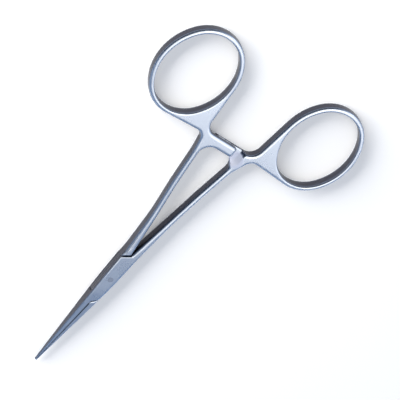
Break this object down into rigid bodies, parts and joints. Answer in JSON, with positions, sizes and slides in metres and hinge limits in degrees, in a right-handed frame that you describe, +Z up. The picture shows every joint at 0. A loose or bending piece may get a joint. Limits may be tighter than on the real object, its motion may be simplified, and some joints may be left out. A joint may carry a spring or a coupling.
{
  "type": "mosquito forceps",
  "caption": "Straight ring-handled clamping forceps with a box lock, serrated fine jaws and a ratchet between the shanks.",
  "frame": {"origin": "on the lock pin's axis, on the flat underside of the box lock", "axes": "+X to the jaw tips, +Y to the finger ring of the half with the box, +Z up, across the plane of opening"},
  "size_m": [0.1019, 0.0608, 0.0032],
  "materials": {
    "box_half_steel": "satin ground stainless steel",
    "inner_half_steel": "satin ground stainless steel",
    "pin_steel": "rivet ground flush with the cheeks"
  },
  "bodies": {
    "box_body": {"box_half": "box_half_steel", "lock_pin": "pin_steel"},
    "inner_body": {"inner_half": "inner_half_steel"}
  },
  "joints": [
    {"name": "lock_hinge", "type": "hinge", "parent": "box_body", "child": "inner_body", "pos_m": [0, 0, 0.0016], "axis": [0, 0, 1], "range_deg": [0, 45]}
  ]
}
